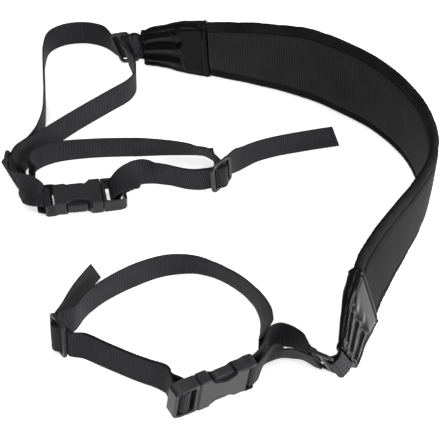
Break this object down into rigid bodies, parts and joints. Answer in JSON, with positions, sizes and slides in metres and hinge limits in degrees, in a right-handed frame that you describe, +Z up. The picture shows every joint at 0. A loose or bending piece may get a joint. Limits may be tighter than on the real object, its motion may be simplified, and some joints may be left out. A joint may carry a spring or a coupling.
{
  "type": "light stand shoulder strap",
  "caption": "Padded shoulder strap for carrying light stands: a curved pad with end caps, and webbing leg loops closed by side-release buckles and bar slides.",
  "frame": {"origin": "middle of the underside of the bounding box, on the surface that the strap lies on", "axes": "+Z up; +X towards the outside of the pad's bend; +Y towards the far leg loop"},
  "size_m": [0.388, 0.5766, 0.083],
  "materials": {
    "webbing": "ribbed polyester webbing, matt black",
    "neoprene": "neoprene foam with knit facing, soft black",
    "mesh": "fine non-slip mesh, black",
    "outer_fabric": "smooth woven outer fabric, dark grey",
    "coated_leather": "coated leather, semi-gloss black",
    "plastic": "moulded acetal, satin black"
  },
  "bodies": {
    "root": {"far_slide": "plastic", "far_joint_slide": "plastic", "far_leg_slide": "plastic", "far_buckle_socket": "plastic", "far_buckle_plug": "plastic", "near_slide": "plastic", "near_leg_slide": "plastic", "near_buckle_socket": "plastic", "near_buckle_plug": "plastic", "pad_body": "neoprene", "pad_inner_panel": "mesh", "pad_outer_panel": "outer_fabric", "far_end_cap": "coated_leather", "near_end_cap": "coated_leather", "far_tab": "webbing", "near_tab": "webbing", "far_length_strap": "webbing", "far_leg_strap": "webbing", "near_length_strap": "webbing", "near_leg_strap": "webbing"}
  },
  "joints": []
}
